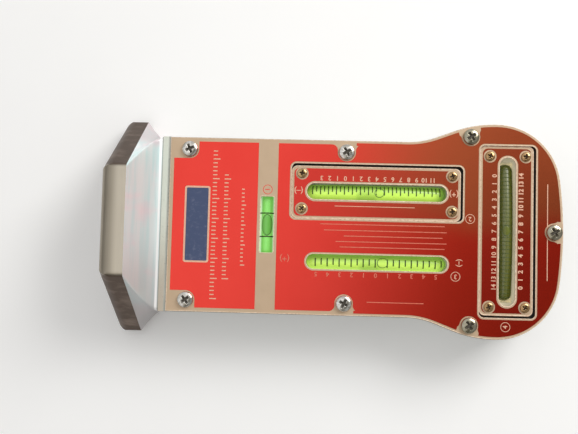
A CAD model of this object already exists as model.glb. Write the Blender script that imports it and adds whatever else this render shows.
import math

import bmesh
import bpy
from mathutils import Matrix, Quaternion, Vector


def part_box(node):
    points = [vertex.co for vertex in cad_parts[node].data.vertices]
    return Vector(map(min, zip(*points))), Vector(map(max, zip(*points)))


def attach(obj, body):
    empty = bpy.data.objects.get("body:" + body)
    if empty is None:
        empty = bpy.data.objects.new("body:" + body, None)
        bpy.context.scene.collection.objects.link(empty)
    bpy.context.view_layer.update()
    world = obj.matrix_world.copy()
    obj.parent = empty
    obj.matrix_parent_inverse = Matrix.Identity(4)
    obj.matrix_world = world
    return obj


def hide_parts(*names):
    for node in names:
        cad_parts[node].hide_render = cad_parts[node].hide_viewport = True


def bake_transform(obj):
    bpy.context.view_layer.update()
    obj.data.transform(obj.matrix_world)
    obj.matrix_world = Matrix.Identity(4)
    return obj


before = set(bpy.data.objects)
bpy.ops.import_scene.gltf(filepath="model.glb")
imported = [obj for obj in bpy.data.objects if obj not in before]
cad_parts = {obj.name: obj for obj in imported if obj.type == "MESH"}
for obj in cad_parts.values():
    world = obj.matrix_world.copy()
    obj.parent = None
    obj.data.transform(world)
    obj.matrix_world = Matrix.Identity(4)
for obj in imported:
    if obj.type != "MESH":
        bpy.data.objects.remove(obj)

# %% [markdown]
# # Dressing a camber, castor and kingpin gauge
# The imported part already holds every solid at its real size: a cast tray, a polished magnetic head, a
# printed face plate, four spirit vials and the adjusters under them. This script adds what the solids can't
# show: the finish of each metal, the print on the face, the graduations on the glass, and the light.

MM = 0.001
X, Y = 0, 1
"""The two ways that a vial can lie."""
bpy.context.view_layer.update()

# %% [markdown]
# ## Where the solids are
# Nothing here is typed twice. The face, the two scale plates and the vials give their own places, so that
# the print moves with them if the part is packed again with other sizes.

# %% Places read from the frame, in millimetres
def box_mm(node):
    low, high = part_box(node)
    return low / MM, high / MM


def middle(node):
    low, high = box_mm(node)
    return (low + high) / 2


plate_low, plate_high = box_mm("face_plate")
head_low, head_high = box_mm("hub_head")
face_z = box_mm("face_enamel")[1].z
castor_z = box_mm("castor_enamel")[1].z
kingpin_z = box_mm("kingpin_enamel")[1].z
castor_mid = middle("castor_vial")
kingpin_mid = middle("kingpin_vial")
camber_mid = middle("camber_vial")
level_mid = middle("level_vial")
POCKET_MID = 5.3
"""Height of the pockets round the scale plates, between their floor and the face plate."""
print("print surfaces at", round(face_z, 2), round(castor_z, 2), round(kingpin_z, 2))

# %% [markdown]
# ## A shorthand for shader maths
# A procedural finish is arithmetic on noise. Writing that arithmetic as Python expressions is shorter than
# wiring Math nodes by hand, so one small class wraps a socket and adds a Math node for each operator.

# %% The wire, and the finish that owns its nodes
EVEN = (1.0, 1.0, 1.0)
"""The stretch of a grain that runs no way."""


class Wire:
    def __init__(self, finish, socket):
        self.finish = finish
        self.socket = socket

    def __add__(self, other):
        return self.finish.maths("ADD", self, other)

    def __sub__(self, other):
        return self.finish.maths("SUBTRACT", self, other)

    def __rsub__(self, other):
        return self.finish.maths("SUBTRACT", other, self)

    def __mul__(self, other):
        return self.finish.maths("MULTIPLY", self, other)

    __radd__ = __add__
    __rmul__ = __mul__


class Finish:
    def __init__(self, name, owner=None):
        self.material = owner or bpy.data.materials.new(name)
        self.material.use_nodes = True
        self.tree = self.material.node_tree
        self.tree.nodes.clear()

    def add(self, kind, settings=(), sockets=(), out=0):
        node = self.tree.nodes.new("ShaderNode" + kind)
        for key, value in dict(settings).items():
            if key == "stops":
                while len(node.color_ramp.elements) < len(value):
                    node.color_ramp.elements.new(1.0)
                for element, (position, colour) in zip(node.color_ramp.elements, value):
                    element.position = position
                    element.color = (*colour, 1.0)
            else:
                setattr(node, key, value)
        for key, value in dict(sockets).items():
            if isinstance(value, Wire):
                self.tree.links.new(value.socket, node.inputs[key])
            else:
                node.inputs[key].default_value = value
        return Wire(self, node.outputs[out]) if node.outputs else node

    def maths(self, operation, a, b=0.0):
        return self.add("Math", {"operation": operation}, {0: a, 1: b})

    def place(self, stretch):
        """Object coordinates, multiplied axis by axis."""
        spot = self.add("TexCoord", out="Object")
        return self.add("VectorMath", {"operation": "MULTIPLY"}, {0: spot, 1: stretch})

    def axis(self, letter):
        spot = self.add("TexCoord", out="Object")
        return self.add("SeparateXYZ", (), {0: spot}, out=letter)

    def own(self, name):
        """A number that the mesh carries on its points."""
        return self.add("Attribute", {"attribute_name": name}, out="Fac")

    def near(self, letter, middle_mm, half_mm, soft_mm=1.0):
        """1 within half_mm of a place on one axis, and 0 past it."""
        off = self.maths("ABSOLUTE", self.axis(letter) * (1 / MM) - middle_mm)
        return 1 - self.window(off, half_mm, half_mm + soft_mm)

    def noise(self, grain_mm, detail=3.0, stretch=EVEN, rough=0.5):
        """Noise from 0 to 1 whose grains are about grain_mm across."""
        return self.add("TexNoise", (), {
            "Vector": self.place(stretch), "Scale": 1 / (grain_mm * MM), "Detail": detail,
            "Roughness": rough})

    def window(self, value, low, high):
        """0 at low and before it, 1 at high and past it, and smooth between them."""
        return self.add("MapRange", {"interpolation_type": "SMOOTHSTEP"}, {
            "Value": value, "From Min": low, "From Max": high})

    def mix(self, share, a, b):
        colours = [c if isinstance(c, Wire) else (*c, 1.0) for c in (a, b)]
        return self.add("Mix", {"data_type": "RGBA"}, {0: share, 6: colours[0], 7: colours[1]}, out=2)

    def bump(self, height, distance_mm):
        return self.add("Bump", (), {"Height": height, "Distance": distance_mm * MM, "Strength": 1.0})

    def done(self, **sockets):
        """Ends in one Principled shader. Socket names are written with _ for a space."""
        named = {key.replace("_", " "): value for key, value in sockets.items()}
        named = {key: (*value, 1.0) if isinstance(value, tuple) else value for key, value in named.items()}
        shader = self.add("BsdfPrincipled", (), named)
        self.add("OutputMaterial", (), {"Surface": shader})
        return self.material


# %% [markdown]
# ## Cast aluminium
# The tray is a sand casting: grey with a trace of green, a sandy skin, and small pits. Two sizes of noise
# give the skin, and a third one stains the colour where hands and oil have been. Grime has settled in the
# pockets round the scale plates, and the neck is worn bright beside the flare.

# %% The casting
def cast_housing():
    f = Finish("cast_housing")
    sand = f.noise(0.45, 5.0, rough=0.65)
    waves = f.noise(6.0, 2.0)
    stain = f.window(f.noise(14.0, 4.0, rough=0.6), 0.4, 0.7)
    pits = f.window(f.noise(1.1, 2.0), 0.62, 0.7)
    colour = f.mix(stain, (0.44, 0.455, 0.41), (0.53, 0.54, 0.49))
    colour = f.mix(pits * 0.5, colour, (0.2, 0.2, 0.17))
    pocket = f.near("X", castor_mid.x, 43.5) * f.near("Y", castor_mid.y, 14.5)
    pocket = pocket + f.near("X", kingpin_mid.x, 14.5) * f.near("Y", kingpin_mid.y, 43.5)
    grime = f.maths("MINIMUM", pocket, 1.0) * f.near("Z", POCKET_MID, 0.9, 0.1)
    colour = f.mix(grime, colour, (0.014, 0.012, 0.010))
    worn = f.mix(f.window(f.axis("Y"), -0.04, 0.01), (0.60, 0.52, 0.42), (0.84, 0.88, 0.78))
    colour = f.mix(f.near("X", head_high.x, 2.4, 0.6) * 0.85, colour, worn)
    return f.done(
        Base_Color=colour, Metallic=0.35, Roughness=0.5 + 0.2 * sand,
        Normal=f.bump(sand + waves * 1.5 - pits * 0.7, 0.12))


# %% [markdown]
# ## Polished and satin steel
# The flared head is ground along its width and then polished, so its highlights break into long streaks.
# The pole plate in front of it is left satin and has a warm tone. Every ground metal here starts from the
# same streaks: noise stretched far along the grinding direction, in the roughness and, very shallow, in the
# bump.

# %% Ground metal
GROUND = (1.0, 0.03, 1.0)
"""The stretch of a grain that runs along Y, the way the metal was ground."""


def ground_metal(name, light, dark, roughness, grain=GROUND, streak_mm=0.25):
    f = Finish(name)
    streak = f.noise(streak_mm, 4.0, stretch=grain, rough=0.6)
    broad = f.noise(streak_mm * 9, 2.0, stretch=grain)
    wear = f.window(f.noise(11.0, 3.0), 0.35, 0.75)
    return f.done(
        Base_Color=f.mix(wear * 0.6 + streak * 0.4, dark, light), Metallic=1.0,
        Roughness=roughness * (0.75 + 0.3 * streak + 0.25 * broad), Normal=f.bump(streak + broad, 0.01))


# %% The pole plate: warm satin steel, left dark and scaly on its slanted sides
def pole_steel():
    f = Finish("pole_steel")
    streak = f.noise(0.4, 4.0, stretch=GROUND, rough=0.6)
    cloud = f.noise(11.0, 3.0)
    scale = f.noise(7.0, 4.0, stretch=(0.5, 1.0, 1.0), rough=0.6)
    side = 1 - f.near("Y", 0.0, 25.6, 1.6)
    flat = f.window(f.axis("X") * (1 / MM), 4.5, 9.5)
    colour = f.mix(flat, (0.25, 0.215, 0.165), (0.62, 0.56, 0.46))
    colour = f.mix(0.35 * streak + 0.3 * cloud, colour, (0.48, 0.43, 0.35))
    colour = f.mix(side, colour, f.mix(f.window(scale, 0.45, 0.7), (0.10, 0.068, 0.050), (0.19, 0.14, 0.11)))
    return f.done(
        Base_Color=colour, Metallic=0.9, Roughness=0.26 + 0.12 * streak + 0.14 * side,
        Normal=f.bump(streak + scale * side, 0.012))


# %% The flare: satin, with broad bands of a slightly different tint across it
def polished_head():
    f = Finish("polished_head")
    streak = f.noise(0.3, 4.0, stretch=GROUND, rough=0.6)
    bands = f.window(f.noise(2.6, 3.0, stretch=(1.0, 0.05, 0.5)), 0.38, 0.62)
    cool = f.window(f.noise(15.0, 2.0, stretch=(0.6, 1.0, 0.6)), 0.34, 0.54)
    low = f.window(f.axis("Y"), 0.0, -0.045)
    tip = 1 - f.near("Y", 0.0, 37.0, 9.0)
    colour = f.mix(cool, (0.93, 0.80, 0.85), (0.73, 0.92, 0.93))
    colour = f.mix(bands * 0.5, colour, (0.97, 0.97, 0.97))
    colour = f.mix(tip * 0.7, colour, (0.62, 0.51, 0.53))
    colour = f.mix(low * 0.7, colour, (0.50, 0.47, 0.47))
    colour = f.mix(f.near("X", head_high.x - 1.2, 0.3, 0.5), colour, (1.0, 1.0, 1.0))
    colour = f.mix(f.near("X", head_high.x, 0.3, 0.3) * 0.8, colour, (0.30, 0.31, 0.28))
    return f.done(
        Base_Color=colour, Metallic=0.2, Roughness=0.30 + 0.12 * streak + 0.08 * bands,
        Coat_Weight=0.5, Coat_Roughness=0.2, Normal=f.bump(streak + bands, 0.014))


# %% Screws: plated heads with dirt in the cross, which the mesh marks on its points
def plated_screw(name, light, dark, dirt, tarnish):
    f = Finish(name)
    grain = f.noise(0.5, 3.0)
    cloud = f.window(f.noise(1.6, 3.0), 0.35, 0.7)
    deep = f.own("recess")
    colour = f.mix(cloud, dark, light)
    colour = f.mix(f.window(f.axis("X"), 0.13, 0.17) * 0.75, colour, tarnish)
    return f.done(
        Base_Color=f.mix(deep, colour, dirt), Metallic=0.95 - 0.6 * deep,
        Roughness=0.16 + 0.1 * grain + 0.45 * deep, Normal=f.bump(grain, 0.01))


# %% [markdown]
# ## The printed face
# The plate is thin aluminium with a translucent red print baked on it, so the red behaves mostly as a
# metal: it takes the tone of whatever it mirrors, bright at the head and dark towards the paddle. The bare
# parts are the same metal without the print, a warm beige.

# %% Red print and bare plate
def red_print():
    f = Finish("red_print")
    grain = f.noise(0.3, 3.0, stretch=(0.06, 1.0, 1.0))
    cloud = f.noise(22.0, 3.0)
    rubbed = f.window(f.noise(1.6, 5.0, rough=0.7), 0.68, 0.8)
    colour = f.mix(cloud, (0.84, 0.048, 0.034), (0.92, 0.066, 0.048))
    far = f.window(f.axis("X"), 0.10, 0.18)
    upper = f.window(f.axis("Y") + 0.012 * cloud, -0.002, 0.020)
    colour = f.mix(far, colour, f.mix(upper, (0.66, 0.030, 0.012), (0.56, 0.110, 0.038)))
    sunken = f.near("Z", castor_z, 0.3, 0.3)
    colour = f.mix(sunken * 0.3, colour, (0.36, 0.02, 0.012))
    colour = f.mix(rubbed * 0.2, colour, (0.9, 0.30, 0.22))
    return f.done(
        Base_Color=colour, Metallic=0.9, Roughness=0.17 + 0.05 * grain + 0.04 * cloud,
        Coat_Weight=0.2, Coat_Roughness=0.15, Normal=f.bump(grain, 0.003))


def bare_plate():
    f = Finish("bare_plate")
    grain = f.noise(0.22, 4.0, stretch=(0.05, 1.0, 1.0), rough=0.6)
    cloud = f.noise(9.0, 4.0)
    colour = f.mix(cloud, (0.56, 0.41, 0.27), (0.68, 0.51, 0.35))
    return f.done(
        Base_Color=colour, Metallic=0.4, Roughness=0.4 + 0.14 * grain, Normal=f.bump(grain, 0.006))


def bright_edge():
    f = Finish("bright_edge")
    worn = f.window(f.noise(1.2, 4.0, rough=0.65), 0.35, 0.7)
    colour = f.mix(worn, (0.80, 0.57, 0.41), (0.97, 0.82, 0.65))
    return f.done(Base_Color=colour, Metallic=0.15, Roughness=0.26 + 0.14 * worn)


def pale_ink(name, faint, strong):
    f = Finish(name)
    worn = f.window(f.noise(0.5, 4.0, rough=0.7), 0.3, 0.75)
    return f.done(Base_Color=f.mix(worn, faint, strong), Metallic=0.25, Roughness=0.42 + 0.1 * worn)


# %% [markdown]
# ## Liquids, glass and white beds
# Spirit levels are filled with a dyed spirit that glows a little in daylight, which a weak emission of its
# own colour gives. The dye looks deeper through the upper half of the tube, because the glass bends the
# view there into the shade of the slot, so the colour runs across the tube.

# %% Liquid, glass, white plastic, black line
VIAL_HALF = 3.9
"""About half of a vial's width, over which its colour runs."""


def liquid(name, bright, deep, glow, centre, across, along=None, end_mm=None, patch_mm=None, rim=None):
    """Bright on one side and deep on the other; deep too past end_mm along the tube, and in a patch.
    A rim colour lights both of its long edges."""
    f = Finish(name)
    spot = f.axis("XYZ"[across]) * (1 / MM) - centre[across]
    side = f.window(spot * (1.0 if across == Y else -1.0), -0.35 * VIAL_HALF, 0.75 * VIAL_HALF)
    cloud = f.noise(7.0, 2.0)
    shade = side * 0.8 + cloud * 0.15
    if along is not None:
        far = f.window(f.axis("XYZ"[along]) * (1 / MM) - centre[along], end_mm - 9.0, end_mm)
        patch = f.near("XYZ"[along], centre[along] + patch_mm, 3.2, 4.0)
        shade = f.maths("MAXIMUM", shade, f.maths("MAXIMUM", far, patch * 0.45))
    colour = f.mix(shade, bright, deep)
    if rim is not None:
        middle_share = f.near("XYZ"[across], centre[across], 0.62 * VIAL_HALF, 0.9)
        colour = f.mix(1 - middle_share, colour, rim)
    return f.done(Base_Color=colour, Roughness=0.25, Emission_Color=colour, Emission_Strength=glow)


def clear_glass():
    f = Finish("clear_glass")
    haze = f.noise(3.0, 3.0)
    return f.done(Base_Color=(0.96, 1.0, 0.94), Metallic=1.0, Roughness=0.38 + 0.08 * haze, Alpha=0.05)


def white_bed():
    f = Finish("white_bed")
    orange_peel = f.noise(0.8, 2.0)
    cloud = f.noise(12.0, 3.0)
    return f.done(
        Base_Color=f.mix(cloud, (0.74, 0.72, 0.62), (0.84, 0.82, 0.74)), Roughness=0.42 + 0.1 * cloud,
        Normal=f.bump(orange_peel, 0.02))


def cream_bed():
    f = Finish("cream_bed")
    grit = f.noise(0.5, 4.0, rough=0.7)
    colour = f.mix(grit, (0.80, 0.70, 0.48), (0.96, 0.88, 0.66))
    return f.done(
        Base_Color=colour, Roughness=0.7 + 0.2 * grit, Emission_Color=colour, Emission_Strength=0.25,
        Normal=f.bump(grit, 0.05))


def dark_line(name="dark_line", colour=(0.03, 0.07, 0.01)):
    f = Finish(name)
    worn = f.noise(0.4, 3.0)
    return f.done(Base_Color=f.mix(worn * 0.5, colour, (0.12, 0.2, 0.05)), Roughness=0.4 + 0.1 * worn)


def blank_panel():
    f = Finish("blank_panel")
    worn = f.window(f.noise(2.2, 5.0, rough=0.7), 0.5, 0.75)
    colour = f.mix(worn, (0.060, 0.085, 0.175), (0.13, 0.155, 0.25))
    return f.done(Base_Color=colour, Metallic=0.3, Roughness=0.35 + 0.15 * worn)


def magnet():
    f = Finish("magnet")
    grit = f.noise(0.35, 4.0, rough=0.7)
    return f.done(
        Base_Color=f.mix(grit, (0.035, 0.035, 0.038), (0.075, 0.075, 0.08)), Metallic=0.3,
        Roughness=0.55 + 0.2 * grit, Normal=f.bump(grit, 0.05))


# %% [markdown]
# ## One finish for each solid
# A solid whose shape is right keeps its mesh and only gets a finish. The list says which solid has which.

# %% Finishes on the solids
finishes = {
    "cast": cast_housing(),
    "head": polished_head(),
    "pole": pole_steel(),
    "screw": ground_metal("bright_screws", (0.80, 0.78, 0.74), (0.55, 0.53, 0.50), 0.2, EVEN, 0.5),
    "black": ground_metal("dark_screws", (0.06, 0.06, 0.065), (0.03, 0.03, 0.03), 0.4, EVEN, 0.5),
    "steel": ground_metal("bracket_steel", (0.62, 0.62, 0.63), (0.45, 0.46, 0.47), 0.3),
    "plated": plated_screw(
        "plated_screws", light=(0.86, 0.84, 0.80), dark=(0.50, 0.48, 0.43), dirt=(0.10, 0.088, 0.07),
        tarnish=(0.30, 0.27, 0.17)),
    "gilt": plated_screw(
        "gilt_screws", light=(0.66, 0.47, 0.24), dark=(0.40, 0.26, 0.12), dirt=(0.05, 0.03, 0.015),
        tarnish=(0.44, 0.27, 0.13)),
    "wire": ground_metal("spring_steel", (0.50, 0.50, 0.52), (0.3, 0.3, 0.32), 0.25, EVEN, 0.5),
    "brass": ground_metal("brass", (0.78, 0.56, 0.22), (0.55, 0.38, 0.14), 0.25, EVEN, 0.6),
    "magnet": magnet(),
    "print": red_print(),
    "bare": bare_plate(),
    "edge": bright_edge(),
    "ink": pale_ink("pale_ink", (0.80, 0.42, 0.28), (0.90, 0.62, 0.45)),
    "dim_ink": pale_ink("dim_ink", (0.72, 0.14, 0.09), (0.78, 0.30, 0.20)),
    "bed": white_bed(),
    "cream": cream_bed(),
    "glass": clear_glass(),
    "line": dark_line(),
    "faint_line": dark_line("faint_line", (0.07, 0.09, 0.015)),
    "panel": blank_panel(),
    "castor_liquid": liquid(
        "castor_liquid", (0.56, 0.84, 0.11), (0.15, 0.33, 0.035), 0.5, castor_mid, across=Y, along=X,
        end_mm=36.0, patch_mm=-5.0),
    "camber_liquid": liquid(
        "camber_liquid", (0.54, 0.80, 0.12), (0.20, 0.40, 0.05), 0.5, camber_mid, across=Y, along=X,
        end_mm=38.0, patch_mm=-3.4),
    "kingpin_liquid": liquid(
        "kingpin_liquid", (0.090, 0.098, 0.006), (0.062, 0.070, 0.005), 0.35, kingpin_mid, across=X),
    "level_liquid": liquid(
        "level_liquid", (0.20, 0.62, 0.11), (0.22, 0.64, 0.13), 0.5, level_mid, across=X, along=Y,
        end_mm=40.0, patch_mm=-4.0, rim=(0.70, 0.90, 0.62)),
    "castor_bubble": liquid("castor_bubble", (0.52, 0.80, 0.12), (0.26, 0.48, 0.06), 0.4, castor_mid, Y),
    "camber_bubble": liquid("camber_bubble", (0.56, 0.82, 0.14), (0.32, 0.56, 0.08), 0.4, camber_mid, Y),
    "kingpin_bubble": liquid("kingpin_bubble", (0.12, 0.14, 0.02), (0.07, 0.08, 0.01), 0.25, kingpin_mid, X),
    "level_bubble": liquid("level_bubble", (0.12, 0.40, 0.06), (0.16, 0.46, 0.1), 0.4, level_mid, X),
    "meniscus": dark_line("meniscus", (0.09, 0.24, 0.03)),
}

worn_by = {
    "cast": ["housing"],
    "pole": ["pole_plate", "pole_core", "centring_pin"],
    "screw": ["pole_plate_screws", "bed_screws", "castor_bracket_screws", "kingpin_bracket_screws"],
    "black": ["head_screws"],
    "steel": ["castor_bracket", "kingpin_bracket", "castor_pivot_pin", "kingpin_pivot_pin"],
    "wire": ["pin_spring", "castor_spring", "kingpin_spring"],
    "brass": ["pin_bush", "castor_bolt", "kingpin_bolt", "castor_nut", "kingpin_nut"],
    "magnet": ["ring_magnet"],
    "print": ["face_enamel", "castor_enamel", "kingpin_enamel"],
    "bare": ["face_plate", "castor_plate", "kingpin_plate"],
    "bed": ["camber_vial_bed", "level_vial_seat", "castor_carrier"],
    "cream": ["kingpin_carrier"],
    "head": ["hub_head"],
}
for finish, nodes in worn_by.items():
    for node in nodes:
        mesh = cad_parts[node].data
        mesh.materials.clear()
        mesh.materials.append(finishes[finish])
print(sum(len(nodes) for nodes in worn_by.values()), "solids have a finish")


# %% [markdown]
# ## Small makers
# Every new piece is a mesh in the part's own frame, with its object at the origin. These helpers turn
# millimetre outlines into closed solids, so that each mark has a top and sides and casts a true edge.

# %% From a bmesh to a piece
def metre_mesh(name, bm):
    """Turns a bmesh in millimetres into a mesh in metres whose faces point outwards."""
    bmesh.ops.recalc_face_normals(bm, faces=bm.faces)
    bmesh.ops.transform(bm, matrix=Matrix.Scale(MM, 4), verts=bm.verts)
    mesh = bpy.data.meshes.new(name)
    bm.to_mesh(mesh)
    bm.free()
    return mesh


def soften(mesh, smooth_deg):
    mesh.shade_smooth()
    mesh.set_sharp_from_angle(angle=math.radians(smooth_deg))


def put(name, data):
    made = bpy.data.objects.new(name, data)
    bpy.context.scene.collection.objects.link(made)
    return made


def plain_mesh(made):
    """An object's shape after its text or modifiers, as a mesh of its own."""
    bpy.context.view_layer.update()
    return bpy.data.meshes.new_from_object(made.evaluated_get(bpy.context.evaluated_depsgraph_get()))


def piece(name, bm, finish, body, smooth_deg=None):
    """Makes a bmesh in millimetres a finished object that rides on a body, if one is named."""
    made = put(name, metre_mesh(name, bm))
    made.data.materials.append(finishes[finish])
    if smooth_deg is not None:
        soften(made.data, smooth_deg)
    if body is not None:
        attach(made, body)
    return made


# %% Faces between rows of points, and the solids made of them
def wrap(bm, rows):
    """Faces all the way round between each row of points and the next. A row of one point is a pole."""
    for near, far in zip(rows, rows[1:]):
        count = max(len(near), len(far))
        for i in range(count):
            j = (i + 1) % count
            corners = [near[i % len(near)], near[j % len(near)], far[j % len(far)], far[i % len(far)]]
            bm.faces.new(list(dict.fromkeys(corners)))


def capped(bm, rows):
    """The same, with a flat face over the first row and the last."""
    bm.faces.new(list(reversed(rows[0])))
    bm.faces.new(rows[-1])
    wrap(bm, rows)


def level_row(bm, outline, z):
    return [bm.verts.new((x, y, z)) for x, y in outline]


def prism(bm, outline, z_low, z_high):
    """A closed solid over an outline of (x, y) points."""
    capped(bm, [level_row(bm, outline, z_low), level_row(bm, outline, z_high)])


def bar(bm, x_low, y_low, x_high, y_high, z_low, z_high):
    prism(bm, [(x_low, y_low), (x_high, y_low), (x_high, y_high), (x_low, y_high)], z_low, z_high)


def band(bm, inner, outer, z_low, z_high):
    """A closed band between two outlines with as many points."""
    rows = [level_row(bm, ring, z) for ring, z in (
        (outer, z_low), (outer, z_high), (inner, z_high), (inner, z_low))]
    wrap(bm, rows + rows[:1])


def circle(x, y, r, steps=40):
    return [(x + r * math.cos(2 * math.pi * i / steps), y + r * math.sin(2 * math.pi * i / steps))
            for i in range(steps)]


CORNER_STEPS = 8


def rounded(x, y, length, width, r):
    """A rectangle's outline with round corners."""
    points = []
    for corner, (sx, sy) in enumerate(((1, 1), (-1, 1), (-1, -1), (1, -1))):
        cx = x + sx * (length / 2 - r)
        cy = y + sy * (width / 2 - r)
        for i in range(CORNER_STEPS + 1):
            a = math.pi / 2 * (corner + i / CORNER_STEPS)
            points.append((cx + r * math.cos(a), cy + r * math.sin(a)))
    return points


# %% Printed figures
INK = 0.03
"""Thickness of a printed mark."""
FIGURE_SHARE = 0.72
"""Height of a figure in Blender's own font, as a share of the text's size."""


def lettering(bm, words, x, y, z, height, turn_deg, bold):
    """Adds figures whose middle is at (x, y). Their strokes grow by bold times the height."""
    text = bpy.data.curves.new("figures", "FONT")
    text.body = words
    text.size = height / FIGURE_SHARE
    text.align_x = "CENTER"
    text.align_y = "CENTER"
    text.offset = bold * height
    text.extrude = INK / 2
    text.resolution_u = 3
    made = put("figures", text)
    mesh = plain_mesh(made)
    mesh.transform(Matrix.Translation((x, y, z + INK / 2)) @ Matrix.Rotation(math.radians(turn_deg), 4, "Z"))
    bm.from_mesh(mesh)
    bpy.data.objects.remove(made)
    bpy.data.curves.remove(text)
    bpy.data.meshes.remove(mesh)


# %% [markdown]
# ## The polished head
# The CAD head is a loft with flat facets, which a mirror finish would show. The same loft is made again
# here with more sections and smooth shading. Its front is a clipped hexagon with round corners, its back is
# the housing's neck, and the share between them follows a power curve, which hollows the flare.

# %% Two helpers for the sections
def corner_arcs(centres, r, steps):
    """Points round the corners of a section: each corner is (y, z, from angle, to angle)."""
    points = []
    for y, z, start, end in centres:
        for k in range(steps + 1):
            a = math.radians(start + (end - start) * k / steps)
            points.append((y + r * math.cos(a), z + r * math.sin(a)))
    return points


def meet(side_a, side_b, inset):
    """Where two sides cross once both have moved in. A side is (its normal's angle, its distance)."""
    (a, p), (b, q) = side_a, side_b
    p, q = p - inset, q - inset
    a, b = math.radians(a), math.radians(b)
    k = math.sin(b - a)
    return (p * math.sin(b) - q * math.sin(a)) / k, (q * math.cos(a) - p * math.cos(b)) / k


# %% The front: a hexagon, clipped below
HEAD_SIDE_HALF = 26.5
SLANT = 30.0
CORNER_RISE = 7.0
HEAD_CORNER_R = 3.0
ARC_STEPS = 10
lean = math.radians(SLANT)
corner_z = head_low.z + CORNER_RISE
head_half = HEAD_SIDE_HALF + (head_high.z - corner_z) * math.tan(lean)
upper = HEAD_SIDE_HALF * math.cos(lean) + head_high.z * math.sin(lean)
under = head_half * math.cos(lean) - corner_z * math.sin(lean)
sides = [(90, head_high.z), (SLANT, upper), (-SLANT, under), (-90, -head_low.z),
         (-180 + SLANT, under), (-180 - SLANT, upper), (-270, head_high.z)]
front_centres = [(*meet(a, b, HEAD_CORNER_R), a[0], b[0]) for a, b in zip(sides, sides[1:])]
front = corner_arcs(front_centres, HEAD_CORNER_R, ARC_STEPS)
inside_box = min(1.0, head_high.y / max(y for y, z in front))
front = [(y * inside_box, z) for y, z in front]
print("the head's width is taken times", round(inside_box, 5), "to stay in the solid's box")

# %% The back: the neck's section, with as many points
NECK_R = 2.0
NECK_HALF = 44.0
NECK_BELOW_FACE = 0.5
neck_y = NECK_HALF - NECK_R
neck_top = plate_high.z - NECK_BELOW_FACE - NECK_R
neck_foot = head_low.z + NECK_R
neck_centres = [
    (neck_y, neck_top, 90, 0), (neck_y, corner_z, 0, 0), (neck_y, neck_foot, 0, -90),
    (-neck_y, neck_foot, -90, -180), (-neck_y, corner_z, -180, -180), (-neck_y, neck_top, -180, -270)]
back = corner_arcs(neck_centres, NECK_R, ARC_STEPS)

# %% The flare as a smooth loft
FLARE_POWER = 1.7
FLARE_SECTIONS = 48
ONE_POINT_MM = 1e-4
flare = bmesh.new()
rows = []
for i in range(FLARE_SECTIONS + 1):
    t = i / FLARE_SECTIONS
    share = 1 - (1 - t) ** FLARE_POWER
    x = head_low.x + (head_high.x - head_low.x) * t
    rows.append([flare.verts.new((x, a[0] * (1 - share) + b[0] * share, a[1] * (1 - share) + b[1] * share))
                 for a, b in zip(front, back)])
capped(flare, rows)
bmesh.ops.remove_doubles(flare, verts=flare.verts, dist=ONE_POINT_MM)
smooth_head = piece("flared_head", flare, "head", "gauge", smooth_deg=28)
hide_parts("hub_head")
print("the flare has", len(smooth_head.data.polygons), "faces")

# %% [markdown]
# ## The print
# The pale marks are places where the red print is left out: the figures of the scales, plus and minus
# signs, small ringed figures, and thin rules. The figures of the castor and camber scales face the other
# way, because they are read from the far side.

# %% Helpers for the print
FIGURE_H = 2.3
THIN, MEDIUM, BOLD = 0.02, 0.03, 0.05
PLUS, MINUS = "(+)", "(\u2013)"
RING_R = 2.4
RING_WIDTH = 0.28


def from_plate(u_mm, v_mm):
    """A place on the face, measured from the middle of the plate's left edge."""
    return plate_low.x + u_mm, v_mm


def rule(bm, x, y, length, width, z):
    """A rule whose lower left corner is at (x, y)."""
    bar(bm, x, y, x + length, y + width, z, z + INK)


def ringed(bm, figure, x, y, z, turn_deg):
    band(bm, circle(x, y, RING_R - RING_WIDTH), circle(x, y, RING_R), z, z + INK)
    lettering(bm, figure, x, y, z, RING_R * 0.95, turn_deg, THIN)


# %% Figures on the face
CAMBER_STEP = 5.95
camber_zero = camber_mid.x - 0.4
marks = bmesh.new()
dim_marks = bmesh.new()
for i in range(-5, 6):
    x = camber_zero + i * CAMBER_STEP
    lettering(dim_marks, str(abs(i)), x, camber_mid.y - 6.2, face_z, FIGURE_H, 180, THIN)
lettering(dim_marks, PLUS, camber_mid.x - 45.8, camber_mid.y + 1.0, face_z, 3.0, 180, THIN)
lettering(marks, MINUS, camber_mid.x + 40.6, camber_mid.y + 1.0, face_z, 2.5, 90, THIN)
for figure, u, v, turn_deg in (("2", 150.5, 5.8, 180), ("3", 143.6, -23.0, 180), ("4", 168.4, -47.2, 90)):
    ringed(marks, figure, *from_plate(u, v), face_z, turn_deg)

# %% Ticks, rules and the empty panel
TICK_STEP = 2.0
TICK_W = 0.55
SHORT_TICK = 0.62
RULE_W = 0.4
KINGPIN_RULE = 48.0
tick_rows = [(23.4, -37.0, 37.0, 3.4), (29.2, -27.0, 25.0, 3.2), (37.6, -20.0, 18.0, 2.2)]
"""Each row is (place along the plate, first tick, last tick, length of a long one); every fifth is long."""
for u, v_low, v_high, tall in tick_rows:
    for i in range(round((v_high - v_low) / TICK_STEP) + 1):
        x, y = from_plate(u, v_low + i * TICK_STEP)
        reach = tall if i % 5 == 0 else SHORT_TICK * tall
        rule(marks, x - tall / 2, y - TICK_W / 2, reach, TICK_W, face_z)
panel_x, panel_y = from_plate(14.2, 0.0)
panel_outline = rounded(panel_x, panel_y, 11.0, 36.6, 0.6)
band(marks, panel_outline, rounded(panel_x, panel_y, 12.8, 38.4, 1.2), face_z, face_z + INK)
rule(marks, kingpin_mid.x + 19.3, -KINGPIN_RULE / 2, RULE_W, KINGPIN_RULE, face_z)
thin_rules = [(1.4, 76, 138), (-1.6, 78, 139), (-4.4, 88, 137), (-7.2, 84, 139), (-9.9, 86, 138),
              (-37.0, 100, 128)]
"""Each rule is (place across the plate, start, end)."""
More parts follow.
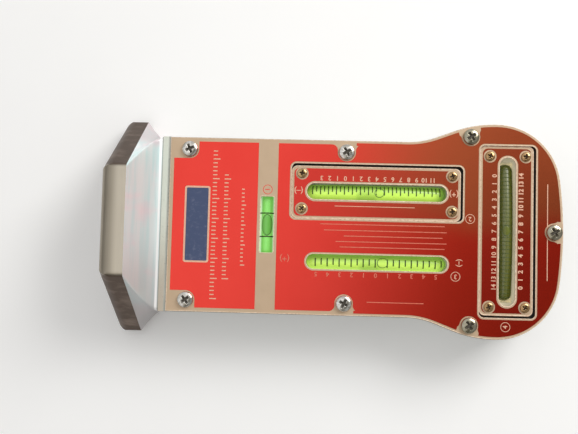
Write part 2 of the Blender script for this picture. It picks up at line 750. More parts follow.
for v, u_low, u_high in thin_rules:
    rule(dim_marks, *from_plate(u_low, v), u_high - u_low, RULE_W, face_z)
face_marks = piece("face_marks", marks, "ink", "gauge")
worn_marks = piece("worn_face_marks", dim_marks, "dim_ink", "gauge")
panel = bmesh.new()
prism(panel, panel_outline, face_z, face_z + INK)
blank = piece("blank_panel", panel, "panel", "gauge")
print("marks on the face:", len(face_marks.data.polygons) + len(worn_marks.data.polygons), "faces")

# %% [markdown]
# The two scale plates sit a millimetre lower and carry their own figures. On the castor plate they run
# above the slot, on the kingpin plate in two columns that count opposite ways, one for each side of the
# car.

# %% Marks on the two scale plates
CASTOR_STEP = 3.96
KINGPIN_STEP = 3.97
castor_zero = castor_mid.x - 15.9
castor_marks = bmesh.new()
for i in range(-3, 12):
    x = castor_zero + i * CASTOR_STEP
    lettering(castor_marks, str(abs(i)), x, castor_mid.y + 6.8, castor_z, FIGURE_H, 180, MEDIUM)
for x, sign in ((castor_mid.x - 39.2, MINUS), (castor_mid.x + 38.4, PLUS)):
    lettering(castor_marks, sign, x, castor_mid.y, castor_z, 2.9, 180, THIN)
rule(castor_marks, castor_mid.x - 21.0, castor_mid.y - 7.4, 40.0, 0.3, castor_z)

kingpin_marks = bmesh.new()
for i in range(15):
    y = kingpin_mid.y + (7 - i) * KINGPIN_STEP
    lettering(kingpin_marks, str(i), kingpin_mid.x - 6.5, y, kingpin_z, FIGURE_H, 90, MEDIUM)
    lettering(kingpin_marks, str(14 - i), kingpin_mid.x + 6.7, y, kingpin_z, FIGURE_H, 90, BOLD)

level_mark = bmesh.new()
ringed(level_mark, "1", level_mid.x, level_mid.y + 17.6, plate_high.z, 90)
for name, bm, finish, slot in (
        ("castor_marks", castor_marks, "ink", "bare_plate"),
        ("kingpin_marks", kingpin_marks, "ink", "bare_plate"),
        ("level_mark", level_mark, "print", "red_print")):
    piece(name, bm, finish, "gauge")

# %% [markdown]
# ## Screws as instances
# Seven large and eight small pan heads repeat one shape, so the shape is made once, as a mesh with a domed
# crown and a tapered cross recess, and a Geometry Nodes tree sets a copy on each place that the CAD screws
# give.

# %% Where the CAD screws are
ONE_POINT = 1e-6
"""Metres within which two points of a solid's mesh are one."""
LEAST_SCREW = 2.0
"""A loose island narrower than this isn't a screw."""


def solid_bm(node):
    """A solid's mesh in metres, with its loose triangles joined."""
    bm = bmesh.new()
    bm.from_mesh(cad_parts[node].data)
    bmesh.ops.remove_doubles(bm, verts=bm.verts, dist=ONE_POINT)
    return bm


def screw_places(node):
    """The middle of each separate screw of a node, in millimetres."""
    bm = solid_bm(node)
    left = set(bm.verts)
    places = []
    while left:
        island = {left.pop()}
        edge = set(island)
        while edge:
            edge = {e.other_vert(v) for v in edge for e in v.link_edges} - island
            island |= edge
        left -= island
        xs = [v.co.x for v in island]
        ys = [v.co.y for v in island]
        if max(xs) - min(xs) > LEAST_SCREW * MM:
            places.append(((max(xs) + min(xs)) / 2 / MM, (max(ys) + min(ys)) / 2 / MM))
    bm.free()
    return sorted(places)


# %% One pan head
def pan_head(name, r, height, rings, steps):
    """A pan head with a cross recess: rings of points whose height is the crown less the recess."""
    arm_half = 0.62 * r
    arm_width = 0.17 * r
    deep = 0.55 * height
    edge_drop = 0.35 * height

    def recess(x, y):
        share = 0.0
        for a, b in ((x, y), (y, x)):
            along = max(0.0, min(1.0, (arm_half - abs(a)) / (0.35 * arm_half)))
            across = max(0.0, min(1.0, (arm_width - abs(b)) / (0.4 * arm_width)))
            share = max(share, min(along, across))
        return share

    def crown(x, y):
        rho = min(1.0, math.hypot(x, y) / r)
        z = height - edge_drop * rho ** 3 - (height - edge_drop) * max(0.0, (rho - 0.9) / 0.1) ** 3 * 0.45
        return z - deep * recess(x, y)

    bm = bmesh.new()
    rows = [[bm.verts.new((0, 0, crown(0, 0)))]]
    for ring in range(1, rings + 1):
        outline = circle(0.0, 0.0, r * (ring / rings) ** 0.9, steps)
        rows.append([bm.verts.new((x, y, crown(x, y))) for x, y in outline])
    rows.append([bm.verts.new((v.co.x, v.co.y, 0)) for v in rows[-1]])
    wrap(bm, rows)
    bm.faces.new(list(reversed(rows[-1])))
    mesh = metre_mesh(name, bm)
    soften(mesh, 50)
    depths = mesh.attributes.new("recess", "FLOAT", "POINT")
    for vertex, depth in zip(mesh.vertices, depths.data):
        depth.value = recess(vertex.co.x / MM, vertex.co.y / MM)
    return bpy.data.objects.new(name, mesh)


# %% [markdown]
# Each tree below has named inputs, with a fixed seed for what is random, and ends in Realize Instances and
# Set Material. Its result is read back as a plain mesh, so the piece that is kept has no modifier.

# %% Building and running a tree
def new_tree(name, inputs):
    tree = bpy.data.node_groups.new(name, "GeometryNodeTree")
    tree.interface.new_socket("Geometry", in_out="INPUT", socket_type="NodeSocketGeometry")
    for label, kind in inputs:
        tree.interface.new_socket(label, in_out="INPUT", socket_type="NodeSocket" + kind)
    tree.interface.new_socket("Geometry", in_out="OUTPUT", socket_type="NodeSocketGeometry")
    return tree, tree.nodes.new("NodeGroupInput"), tree.nodes.new("NodeGroupOutput")


def grow(tree, kind, settings=(), sockets=()):
    """Adds a node of a tree; a socket's value may be another node's output."""
    node = tree.nodes.new(kind)
    for key, value in dict(settings).items():
        setattr(node, key, value)
    for key, value in dict(sockets).items():
        if isinstance(value, bpy.types.NodeSocket):
            tree.links.new(value, node.inputs[key])
        else:
            node.inputs[key].default_value = value
    return node


def end_tree(tree, given, out, shape):
    """Adds the two nodes that every tree ends in."""
    real = grow(tree, "GeometryNodeRealizeInstances", (), {"Geometry": shape})
    painted = grow(tree, "GeometryNodeSetMaterial", (), {
        "Geometry": real.outputs[0], "Material": given.outputs["Material"]})
    tree.links.new(painted.outputs[0], out.inputs[0])
    return tree


def run_tree(tree, name, points, values, body, edges=()):
    """Runs a tree on points or lines in millimetres. Its result becomes a plain mesh that rides on a body."""
    mesh = bpy.data.meshes.new(name + "_points")
    mesh.from_pydata([tuple(c * MM for c in p) for p in points], edges, [])
    holder = put(name + "_points", mesh)
    modifier = holder.modifiers.new("tree", "NODES")
    modifier.node_group = tree
    for item in tree.interface.items_tree:
        if item.item_type == "SOCKET" and item.in_out == "INPUT" and item.name in values:
            modifier[item.identifier] = values[item.name]
    result = plain_mesh(holder)
    result.name = name
    bpy.data.objects.remove(holder)
    made = put(name, result)
    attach(made, body)
    print(name, "has", len(result.polygons), "faces")
    return made


# %% The tree that sets screws
def screw_tree():
    tree, given, out = new_tree("set_screws", [
        ("Screw", "Object"), ("Seed", "Int"), ("Material", "Material")])
    asked = given.outputs
    shape = grow(tree, "GeometryNodeObjectInfo", {"transform_space": "ORIGINAL"}, {"Object": asked["Screw"]})
    turn = grow(tree, "FunctionNodeRandomValue", {"data_type": "FLOAT"}, {
        "Seed": asked["Seed"], 2: 0.0, 3: math.pi})
    spin = grow(tree, "ShaderNodeCombineXYZ", (), {"Z": turn.outputs[1]})
    copies = grow(tree, "GeometryNodeInstanceOnPoints", (), {
        "Points": asked["Geometry"], "Instance": shape.outputs["Geometry"], "Rotation": spin.outputs[0]})
    return end_tree(tree, given, out, copies.outputs[0])


# %% The screws
screws = screw_tree()
HEAD_R, HEAD_H = 4.0, 2.4
SMALL_HEAD_R, SMALL_HEAD_H = 2.4, 1.3
large_head = pan_head("large_pan_head", HEAD_R, HEAD_H, rings=28, steps=72)
small_head = pan_head("small_pan_head", SMALL_HEAD_R, SMALL_HEAD_H, rings=18, steps=48)
for node, head, tall, finish, seed in (
        ("face_plate_screws", large_head, HEAD_H, "plated", 4),
        ("castor_plate_screws", small_head, SMALL_HEAD_H, "gilt", 7),
        ("kingpin_plate_screws", small_head, SMALL_HEAD_H, "gilt", 11)):
    places = [(x, y, box_mm(node)[1].z - tall) for x, y in screw_places(node)]
    heads = run_tree(screws, node + "_heads", places, {
        "Screw": head, "Seed": seed, "Material": finishes[finish]}, "gauge")
    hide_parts(node)

# %% [markdown]
# ## Springs that give
# The three springs are coils whose two ends belong to different bodies: a bolt's spring stands on its
# bracket and carries the rocking carrier, and the pin's spring sits between the head and the pin. A blend
# lets each end follow its own body, so the coil closes and opens with the joint, which a rigid spring would
# cut through.

# %% One coil
RINGS_A_CURL = 28
WIRE_SIDES = 12
CURL_GAP = 0.06
"""Gap between the flat end curls and the next ones."""


def coil(bm, r, wire, low, high, curls, to_place):
    """A closed coil from low to high on its own axis, whose end curls lie flat."""
    closed = curls * (wire + CURL_GAP) / (high - low)
    flat = 0.5 / curls
    rings = curls * RINGS_A_CURL
    rows = []
    for i in range(rings + 1):
        t = i / rings
        a = 2 * math.pi * curls * t
        open_share = max(0.0, min(1.0, (t - flat) / (1 - 2 * flat)))
        z = low + wire / 2 + (high - low - wire) * (t * closed + open_share * (1 - closed))
        section = [(r + x, z + y) for x, y in circle(0.0, 0.0, wire / 2, WIRE_SIDES)]
        rows.append([bm.verts.new(to_place(out * math.cos(a), out * math.sin(a), up)) for out, up in section])
    capped(bm, rows)


# %% The three springs
PIN_WIRE, PIN_CURLS = 0.7, 5
BOLT_WIRE, BOLT_CURLS = 0.6, 3
for node, wire, curls, upright, low_body, high_body in (
        ("pin_spring", PIN_WIRE, PIN_CURLS, False, "centring_pin", "gauge"),
        ("castor_spring", BOLT_WIRE, BOLT_CURLS, True, "gauge", "castor_carrier"),
        ("kingpin_spring", BOLT_WIRE, BOLT_CURLS, True, "gauge", "kingpin_carrier")):
    low, high = box_mm(node)
    spot = (low + high) / 2
    turns = bmesh.new()
    if upright:
        coil(turns, (high.x - low.x - wire) / 2, wire, low.z, high.z, curls,
             lambda x, y, z: (spot.x + x, spot.y + y, z))
    else:
        coil(turns, (high.y - low.y - wire) / 2, wire, low.x, high.x, curls,
             lambda x, y, z: (z, spot.y + x, spot.z + y))
    made = piece(node + "_coil", turns, "wire", None, smooth_deg=60)
    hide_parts(node)
    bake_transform(made)

# %% [markdown]
# ## Rolled edges
# The plates have a bright, slightly rounded edge round their outline, their windows and their slots. The
# edges are found on the solids themselves: wherever a face that looks up meets an upright one. A small tree
# then sweeps a round section along those loops.

# %% Loops where a plate's top meets its sides
LEVEL = 1e-5
"""Metres within which a point is on a plate's top."""
HOLE_CLEAR = 3.0


def top_edges(node, keep):
    """Points, in millimetres, and edges of a node's top outline, where keep(x, y) says so."""
    bm = solid_bm(node)
    top = max(v.co.z for v in bm.verts)
    points, edges, place_of = [], [], {}
    for edge in bm.edges:
        ends = edge.verts
        upright = [abs(f.normal.z) < 0.5 for f in edge.link_faces]
        rim = all(abs(v.co.z - top) < LEVEL for v in ends) and any(upright) and not all(upright)
        if rim and all(keep(v.co.x / MM, v.co.y / MM) for v in ends):
            for v in ends:
                if v not in place_of:
                    place_of[v] = len(points)
                    points.append(v.co / MM)
            edges.append([place_of[v] for v in ends])
    bm.free()
    return points, edges


def not_a_screw(node):
    """True for places further from every screw of a node than its hole."""
    places = screw_places(node)
    return lambda x, y: all(math.hypot(x - a, y - b) > HOLE_CLEAR for a, b in places)


# %% The bead on those loops
BEAD_SIDES = 8
BEAD_SUNK = 0.5
"""How deep a bead lies in the plate, as a share of its radius."""


def edge_tree():
    tree, given, out = new_tree("roll_edges", [
        ("Radius", "Float"), ("Drop", "Float"), ("Material", "Material")])
    asked = given.outputs
    line = grow(tree, "GeometryNodeMeshToCurve", (), {0: asked["Geometry"]})
    section = grow(tree, "GeometryNodeCurvePrimitiveCircle", {"mode": "RADIUS"}, {
        "Resolution": BEAD_SIDES, "Radius": asked["Radius"]})
    bead = grow(tree, "GeometryNodeCurveToMesh", (), {
        "Curve": line.outputs[0], "Profile Curve": section.outputs[0], "Fill Caps": True})
    down = grow(tree, "ShaderNodeCombineXYZ", (), {"Z": asked["Drop"]})
    sunk = grow(tree, "GeometryNodeTransform", (), {
        "Geometry": bead.outputs[0], "Translation": down.outputs[0]})
    smooth = grow(tree, "GeometryNodeSetShadeSmooth", (), {"Geometry": sunk.outputs[0]})
    return end_tree(tree, given, out, smooth.outputs[0])


roll = edge_tree()
for node, r in (("face_plate", 0.22), ("castor_plate", 0.34), ("kingpin_plate", 0.34)):
    points, edges = top_edges(node, not_a_screw(node + "_screws"))
    bead = run_tree(roll, node + "_edges", points, {
        "Radius": r * MM, "Drop": -BEAD_SUNK * r * MM, "Material": finishes["edge"]}, "gauge", edges)

# %% [markdown]
# ## The print's margin
# The print runs closer to the plate's edge than the solid print does, from the middle screws to the
# paddle's end. The margin is a thin strip that follows the plate's own outline at two distances, and stops
# at the screw rings.

# %% The way round the plate
LOOP_STEP = 0.6


def outer_loop(node):
    """The way round the outside of a node's top, in order, with a point at least every LOOP_STEP."""
    points, edges = top_edges(node, lambda x, y: True)
    next_to = {}
    for a, b in edges:
        next_to.setdefault(a, []).append(b)
        next_to.setdefault(b, []).append(a)
    first = max(range(len(points)), key=lambda i: points[i].x)
    loop, last = [first], None
    while True:
        ahead = [n for n in next_to[loop[-1]] if n != last]
        last = loop[-1]
        if ahead[0] == first:
            break
        loop.append(ahead[0])
    corners = [(points[i].x, points[i].y) for i in loop]
    closer = []
    for a, b in zip(corners, corners[1:] + corners[:1]):
        parts = max(1, math.ceil(math.dist(a, b) / LOOP_STEP))
        closer += [(a[0] + (b[0] - a[0]) * k / parts, a[1] + (b[1] - a[1]) * k / parts) for k in range(parts)]
    return closer


def strip(bm, side_a, side_b, z_low, z_high):
    """A closed strip between two open lines with as many points."""
    rows = [level_row(bm, line, z) for line, z in (
        (side_a, z_low), (side_a, z_high), (side_b, z_high), (side_b, z_low))]
    for a, b in zip(rows, rows[1:] + rows[:1]):
        for i in range(len(side_a) - 1):
            bm.faces.new((a[i], a[i + 1], b[i + 1], b[i]))
    for end in (0, -1):
        bm.faces.new([row[end] for row in rows])


# %% The strips
MARGIN_OUT, MARGIN_IN = 0.95, 2.3
"""The margin's two sides, measured from the plate's edge. The inner one lies under the solid print."""
MARGIN_PROUD = 0.01
RING_CLEAR = 5.7
loop = outer_loop("face_plate")
ringed_screws = screw_places("face_plate_screws")
margin_from = sorted(x for x, y in ringed_screws)[2]
area = sum(a[0] * b[1] - b[0] * a[1] for a, b in zip(loop, loop[1:] + loop[:1]))
runs = [[]]
for before, here, after in zip(loop[-1:] + loop[:-1], loop, loop[1:] + loop[:1]):
    way = Vector((after[0] - before[0], after[1] - before[1])).normalized()
    inward = Vector((-way.y, way.x)) * math.copysign(1.0, area)
    pair = [(here[0] + inward.x * d, here[1] + inward.y * d) for d in (MARGIN_OUT, MARGIN_IN)]
    clear = all(math.dist(pair[1], screw) > RING_CLEAR for screw in ringed_screws)
    if clear and here[0] > margin_from:
        runs[-1].append(pair)
    elif runs[-1]:
        runs.append([])
runs = [run for run in runs if len(run) > 1]
margin = bmesh.new()
for run in runs:
    strip(margin, *zip(*run), plate_high.z, face_z + MARGIN_PROUD)
print("the print's margin is in", len(runs), "strips")
piece("print_margin", margin, "print", "gauge")

# %% [markdown]
# ## Vials
# A vial is three things seen through each other: a glass tube bent to a large radius, the dyed spirit in
# it, and a bubble that floats to the crown. The graduations are fired on the glass. Each is its own closed
# mesh. The tube's centre line is an arc in the upright plane, and one function gives a point on it.

# %% A tube along an arc
TUBE_STATIONS = 60
END_STATIONS = 8
"""Stations in each round end of a tube, of all its stations."""
POLE_R = 1e-3


def vial_frame(node, along, bend):
    """Maps a vial's own (length, angle round it, radius) to millimetres in the part's frame."""
    low, high = box_mm(node)
    spot = (low + high) / 2
    r = (high[1 - along] - low[1 - along]) / 2
    crown = high.z - r

    def place(s, ring_angle, radius):
        rise = radius * math.sin(ring_angle)
        side = radius * math.cos(ring_angle)
        if bend:
            s, rise = (bend + rise) * math.sin(s / bend), (bend + rise) * math.cos(s / bend) - bend
        if along == X:
            return spot.x + s, spot.y - side, crown + rise
        return spot.x + side, spot.y + s, crown + rise

    return place, r, (high[along] - low[along]) / 2


def tube(bm, place, r, half, end_r, steps):
    """A closed tube with round ends: its last end_r at each end follows a quarter circle."""
    straight = half - end_r
    rows = []
    for i in range(TUBE_STATIONS + 1):
        nearest = min(i, TUBE_STATIONS - i)
        if nearest < END_STATIONS:
            out = half - end_r * (1 - math.cos(math.pi / 2 * nearest / END_STATIONS))
            s = math.copysign(out, i - TUBE_STATIONS / 2)
        else:
            s = straight * (2 * (i - END_STATIONS) / (TUBE_STATIONS - 2 * END_STATIONS) - 1)
        inside = max(0.0, abs(s) - straight) / end_r
        radius = r * math.sqrt(max(0.0, 1 - inside * inside))
        if radius < POLE_R:
            rows.append([bm.verts.new(place(s, 0.0, 0.0))])
        else:
            rows.append([bm.verts.new(place(s, 2 * math.pi * k / steps, radius)) for k in range(steps)])
    wrap(bm, rows)


# %% A bubble, and the dark line round it
BUBBLE_LOW, BUBBLE_HIGH = -0.25, 0.16
BUBBLE_RINGS = 8
BUBBLE_STEPS = 40
MENISCUS_R = 0.17
MENISCUS_SIDES = 8
MENISCUS_STEPS = 48


def on_crown(bm, place, at, length, half_turn, share, a, radius):
    """A point over the vial's crown, at an angle round the bubble's middle and a share of its size."""
    return bm.verts.new(place(
        at + length / 2 * share * math.cos(a), math.pi / 2 + half_turn * share * math.sin(a), radius))


def lens(bm, place, r, at, length, half_turn):
    """A bubble under the glass: a patch on the liquid's crown that swells from its edge to its middle."""
    def ring(share, lift):
        return [on_crown(bm, place, at, length, half_turn, share, 2 * math.pi * k / BUBBLE_STEPS, r + lift)
                for k in range(BUBBLE_STEPS)]

    shares = [(i + 1) / BUBBLE_RINGS for i in range(BUBBLE_RINGS)]
    rows = [[bm.verts.new(place(at, math.pi / 2, r + BUBBLE_HIGH))]]
    rows += [ring(q, BUBBLE_HIGH * math.sqrt(max(0.0, 1 - q * q))) for q in shares]
    rows += [ring(q, BUBBLE_LOW * math.sqrt(max(0.0, 1 - q * q))) for q in reversed(shares[:-1])]
    rows.append([bm.verts.new(place(at, math.pi / 2, r + BUBBLE_LOW))])
    wrap(bm, rows)


def meniscus(bm, place, r, at, length, half_turn):
    """The dark edge of a bubble: a thin ring that lies on the liquid's crown."""
    section = circle(0.0, 0.0, MENISCUS_R, MENISCUS_SIDES)
    rows = []
    for k in range(MENISCUS_STEPS):
        a = 2 * math.pi * k / MENISCUS_STEPS
        rows.append([on_crown(bm, place, at, length, half_turn, 1 + out / (length / 2), a, r + up)
                     for out, up in section])
    wrap(bm, rows + rows[:1])


# %% [markdown]
# The graduations are a Geometry Nodes tree: a row of points bent to the vial's arc, and on each point a
# short arc round the glass with a small flat section. Long and short ones alternate, because the points
# pick their shape by whether their number is even.

# %% The tree that graduates a vial
GRADUATION_THICK = 0.06
ARC_POINTS = 14


def graduation_tree():
    tree, given, out = new_tree("graduate_vial", [
        ("Count", "Int"), ("First", "Float"), ("Step", "Float"), ("Bend", "Float"), ("Tube radius", "Float"),
        ("From angle", "Float"), ("Long sweep", "Float"), ("Short sweep", "Float"), ("Line width", "Float"),
        ("Turn", "Vector"), ("Place", "Vector"), ("Material", "Material")])
    asked = given.outputs

    def sums(operation, a, b=0.0):
        return grow(tree, "ShaderNodeMath", {"operation": operation}, {0: a, 1: b}).outputs[0]

    def vector(**parts):
        return grow(tree, "ShaderNodeCombineXYZ", (), parts).outputs[0]

    row = grow(tree, "GeometryNodeMeshLine", {"mode": "OFFSET"}, {
        "Count": asked["Count"], "Start Location": vector(X=asked["First"]),
        "Offset": vector(X=asked["Step"])})
    here = grow(tree, "GeometryNodeInputPosition")
    along = grow(tree, "ShaderNodeSeparateXYZ", (), {0: here.outputs[0]}).outputs["X"]
    lean = sums("DIVIDE", along, asked["Bend"])
    drop = sums("SUBTRACT", sums("MULTIPLY", sums("COSINE", lean), asked["Bend"]), asked["Bend"])
    bent = grow(tree, "GeometryNodeSetPosition", (), {
        "Geometry": row.outputs[0],
        "Position": vector(X=sums("MULTIPLY", sums("SINE", lean), asked["Bend"]), Z=drop)})
    section = grow(tree, "GeometryNodeCurvePrimitiveQuadrilateral", {"mode": "RECTANGLE"}, {
        "Width": GRADUATION_THICK * MM, "Height": asked["Line width"]})
    both = grow(tree, "GeometryNodeJoinGeometry")
    for sweep in (asked["Short sweep"], asked["Long sweep"]):
        arc = grow(tree, "GeometryNodeCurveArc", {"mode": "RADIUS"}, {
            "Resolution": ARC_POINTS, "Radius": asked["Tube radius"], "Start Angle": asked["From angle"],
            "Sweep Angle": sweep})
        flat = grow(tree, "GeometryNodeSetCurveNormal", {"mode": "Z_UP"}, {"Curve": arc.outputs[0]})
        stroke = grow(tree, "GeometryNodeCurveToMesh", (), {
            "Curve": flat.outputs[0], "Profile Curve": section.outputs[0], "Fill Caps": True})
        upright = grow(tree, "GeometryNodeTransform", (), {
            "Geometry": stroke.outputs[0], "Rotation": (math.pi / 2, 0.0, math.pi / 2)})
        shape = grow(tree, "GeometryNodeGeometryToInstance", (), {0: upright.outputs[0]})
        tree.links.new(shape.outputs[0], both.inputs[0])
    number = grow(tree, "GeometryNodeInputIndex").outputs[0]
    leaned = sums("ARCSINE", sums("DIVIDE", along, asked["Bend"]))
    copies = grow(tree, "GeometryNodeInstanceOnPoints", (), {
        "Points": bent.outputs[0], "Instance": both.outputs[0], "Pick Instance": True,
        "Instance Index": sums("MODULO", number, 2.0), "Rotation": vector(Y=leaned)})
    placed = grow(tree, "GeometryNodeTransform", (), {
        "Geometry": copies.outputs[0], "Translation": asked["Place"], "Rotation": asked["Turn"]})
    return end_tree(tree, given, out, placed.outputs[0])


# %% [markdown]
# ## What the vials lie in
# The camber vial's bed is a white moulding with a trough, open to the slot above. A boolean cuts the trough
# with the same bent tube that makes the glass, a little wider. The castor and kingpin vials lie in the
# carriers, which keep their solids. The kingpin one has a cream tone, because its slot shows it past the
# vial.

# %% Cutting
def box_bm(low, high):
    bm = bmesh.new()
    bar(bm, low[0], low[1], high[0], high[1], low[2], high[2])
    return bm


def cut(name, solid, cutters, finish, body):
    """Cuts each cutter out of a solid, and keeps the result as a plain piece."""
    block = put(name + "_block", metre_mesh(name + "_block", solid))
    tools = [put(name + "_tool", metre_mesh(name + "_tool", bm)) for bm in cutters]
    for tool in tools:
        step = block.modifiers.new("cut", "BOOLEAN")
        step.object = tool
        step.solver = "EXACT"
    result = bmesh.new()
    result.from_mesh(plain_mesh(block))
    for spare in [block, *tools]:
        bpy.data.objects.remove(spare)
    bmesh.ops.transform(result, matrix=Matrix.Scale(1 / MM, 4), verts=result.verts)
    return piece(name, result, finish, body, smooth_deg=30)


# %% The camber vial's bed
CAMBER_BEND = 341.0
VIAL_ROOM = 0.1
OPEN_BELOW = 0.6
"""How far under the vial's middle the trough's straight walls begin."""
OPEN_ABOVE = 1.0
GLASS_STEPS = 48
bed_low, bed_high = box_mm("camber_vial_bed")
camber_place, camber_r, camber_half = vial_frame("camber_vial", X, CAMBER_BEND)
trough = bmesh.new()
tube(trough, camber_place, camber_r + VIAL_ROOM, camber_half + VIAL_ROOM, camber_r, GLASS_STEPS)
wall_y = camber_r + VIAL_ROOM
open_top = box_bm((camber_mid.x - camber_half, camber_mid.y - wall_y, camber_mid.z - OPEN_BELOW),
                  (camber_mid.x + camber_half, camber_mid.y + wall_y, bed_high.z + OPEN_ABOVE))
open_bed = cut("camber_bed", box_bm(bed_low, bed_high), [trough, open_top], "bed", "gauge")
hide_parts("camber_vial_bed")
print("the bed's trough is", round(2 * wall_y, 2), "mm wide")

# %% [markdown]
# ## Dressing the vials
# The four vials differ only in numbers: which way they lie, how much they bend, where the bubble stands,
# and how they are graduated. The castor and kingpin ones ride on the carriers that rock them.

# %% One function for every vial
graduate = graduation_tree()
print("graduations tree:", len(graduate.nodes), "nodes")
CARRIER_BEND = 229.0
ALMOST_STRAIGHT = 20000.0
"""The bend that the graduations of a straight vial follow."""
LIQUID_SHARE = 0.98
LIQUID_SHORT = 0.6
LIQUID_STEPS = 40
MARK_LIFT = 0.01
NO_EDGE = 180


def dress_vial(node, body, along, bend, bubble, grads, sides, line="line", rim="meniscus"):
    """bubble is (place, length, half turn in radians), grads is (count, first, step, line width), and
    sides is (from, long ones to, short ones to) in degrees from the crown."""
    name = node.replace("_vial", "")
    place, r, half = vial_frame(node, along, bend)
    glass, spirit, gas, edge = (bmesh.new() for _ in range(4))
    tube(glass, place, r, half, r, GLASS_STEPS)
    shell = piece(name + "_glass", glass, "glass", body, smooth_deg=NO_EDGE)
    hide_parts(node)
    liquid_r = LIQUID_SHARE * r
    tube(spirit, place, liquid_r, half - LIQUID_SHORT, liquid_r, LIQUID_STEPS)
    lens(gas, place, liquid_r, *bubble)
    meniscus(edge, place, liquid_r, *bubble)
    for part, bm, finish in (
            ("_liquid", spirit, name + "_liquid"), ("_bubble", gas, name + "_bubble"),
            ("_meniscus", edge, rim)):
        piece(name + part, bm, finish, body, smooth_deg=NO_EDGE)

    count, first, step, width = grads
    start, long_end, short_end = (math.radians(90 + a) for a in sides)
    spot = middle(node)
    marks = run_tree(graduate, name + "_graduations", [(0.0, 0.0, 0.0)], {
        "Count": count, "First": first * MM, "Step": step * MM, "Bend": (bend or ALMOST_STRAIGHT) * MM,
        "Tube radius": (r + MARK_LIFT) * MM, "From angle": start, "Long sweep": long_end - start,
        "Short sweep": short_end - start, "Line width": width * MM,
        "Turn": (0.0, 0.0, math.pi / 2 if along == Y else 0.0),
        "Place": (spot.x * MM, spot.y * MM, (box_mm(node)[1].z - r) * MM), "Material": finishes[line]}, body)


# %% The four vials
castor_first = castor_zero - 4 * CASTOR_STEP - castor_mid.x
camber_first = camber_zero - 5 * CAMBER_STEP - camber_mid.x
dress_vial("castor_vial", "castor_carrier", X, CARRIER_BEND, bubble=(1.4, 4.4, 0.62),
           grads=(33, castor_first, CASTOR_STEP / 2, 0.52), sides=(-52, 18, -2))
dress_vial("camber_vial", "gauge", X, CAMBER_BEND, bubble=(3.2, 5.2, 0.66),
           grads=(22, camber_first, CAMBER_STEP / 2, 0.6), sides=(-27, 36, 22))
dress_vial("kingpin_vial", "kingpin_carrier", Y, CARRIER_BEND, bubble=(0.6, 5.0, 0.6),
           grads=(34, -32.4, KINGPIN_STEP / 2, 0.3), sides=(-50, 50, 30), line="faint_line", rim="faint_line")
dress_vial("level_vial", "gauge", Y, 0.0, bubble=(0.0, 10.6, 0.72),
           grads=(2, -5.9, 11.8, 0.6), sides=(-88, 88, 88))

# %% [markdown]
# ## The light
# The metal print mirrors the room, so the room does most of the work: it is bright past the head and dim
# past the paddle, which makes the red glow at one end and darken towards the other. One small soft box
# lifts the screws and edges. The floor is pale paper, on which the gauge's back rim rests.

# %% Floor
FLOOR_HALF = 1500.0
FLOOR_THICK = 2.0
floor = bmesh.new()
floor_z = box_mm("housing")[0].z
bar(floor, -FLOOR_HALF, -FLOOR_HALF, FLOOR_HALF, FLOOR_HALF, floor_z - FLOOR_THICK, floor_z)
floor_object = put("floor", metre_mesh("floor", floor))
paper = Finish("floor_paper")
floor_object.data.materials.append(paper.done(
    Base_Color=paper.mix(paper.noise(40.0), (0.90, 0.90, 0.90), (0.93, 0.93, 0.93)), Roughness=0.8,
    Emission_Color=(1.0, 1.0, 1.0), Emission_Strength=0.12))

# %% Soft box
KEY_AT = Vector((0.80, 0.62, 0.80))
KEY_AIM = Vector((0.08, 0.0, 0.0))
KEY_SIDE = 0.6
KEY_WATTS = 9.0
light = bpy.data.lights.new("key_light", "AREA")
light.shape = "SQUARE"
light.size = KEY_SIDE
light.energy = KEY_WATTS
light.color = (1.0, 0.99, 0.97)
key_light = put("key_light", light)
key_light.location = KEY_AT
key_light.rotation_euler = (KEY_AIM - KEY_AT).to_track_quat("-Z", "Y").to_euler()

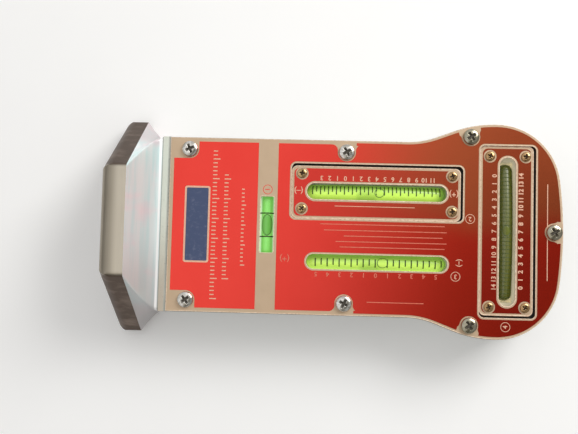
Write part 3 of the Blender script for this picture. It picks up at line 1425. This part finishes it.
# %% The room: a bright side past the head, a dim side past the paddle, and darker walls
RAMP_FROM, RAMP_TO = -0.4, 0.6
TURNED = 0.5
"""How much the room's tones run along Y too, as a share of how they run along X."""
tones = [(-0.40, (0.90, 0.90, 0.90)), (-0.12, (1.0, 0.99, 0.98)), (-0.03, (0.88, 0.85, 0.82)),
         (0.05, (0.68, 0.65, 0.60)), (0.12, (0.50, 0.47, 0.41)), (0.17, (0.27, 0.25, 0.20)),
         (0.22, (0.13, 0.12, 0.09)), (0.36, (0.12, 0.11, 0.08)), (0.60, (0.42, 0.42, 0.41))]
stops = [((x - RAMP_FROM) / (RAMP_TO - RAMP_FROM), tone) for x, tone in tones]
world = bpy.data.worlds.new("pale_room")
bpy.context.scene.world = world
room = Finish("pale_room", owner=world)
gaze = room.add("TexCoord", out="Generated")
gaze_x, gaze_y, gaze_z = (room.add("SeparateXYZ", (), {0: gaze}, out=letter) for letter in "XYZ")
share = room.add("MapRange", (), {
    "Value": gaze_x - TURNED * gaze_y, "From Min": RAMP_FROM, "From Max": RAMP_TO})
tone = room.add("ValToRGB", {"stops": stops}, {0: share})
height = room.add("MapRange", {"interpolation_type": "SMOOTHSTEP"}, {
    "Value": gaze_z, "From Min": -0.1, "From Max": 0.92, "To Min": 0.3, "To Max": 1.0})
sky = room.add("Background", (), {"Color": tone, "Strength": height})
room.add("OutputWorld", (), {"Surface": sky})
bpy.context.scene.view_settings.view_transform = "Standard"

# %% [markdown]
# ## The camera
# The photo looks almost straight down on the face, from a little below its middle. The place, the turn and
# the lens were worked out from the plate's corners and screws, so the model falls on the same part of the
# frame.

# %% The photo's viewpoint
PHOTO_WIDTH_PX = 578
FOCAL_PX = 850.0
CAMERA_AT = Vector((0.10226, -0.02287, 0.43141))
CAMERA_TURN = Vector((0.065, 0.0271, 0.0252))
"""An axis whose length is the angle, in radians."""
camera_data = bpy.data.cameras.new("photo_camera")
camera_data.sensor_width = 36.0
camera_data.sensor_fit = "HORIZONTAL"
camera_data.lens = FOCAL_PX * camera_data.sensor_width / PHOTO_WIDTH_PX
camera_data.clip_start = 0.01
camera = put("photo_camera", camera_data)
turned = Quaternion(CAMERA_TURN.normalized(), CAMERA_TURN.length).to_matrix().to_4x4()
camera.matrix_world = Matrix.Translation(CAMERA_AT) @ turned
bpy.context.scene.camera = camera
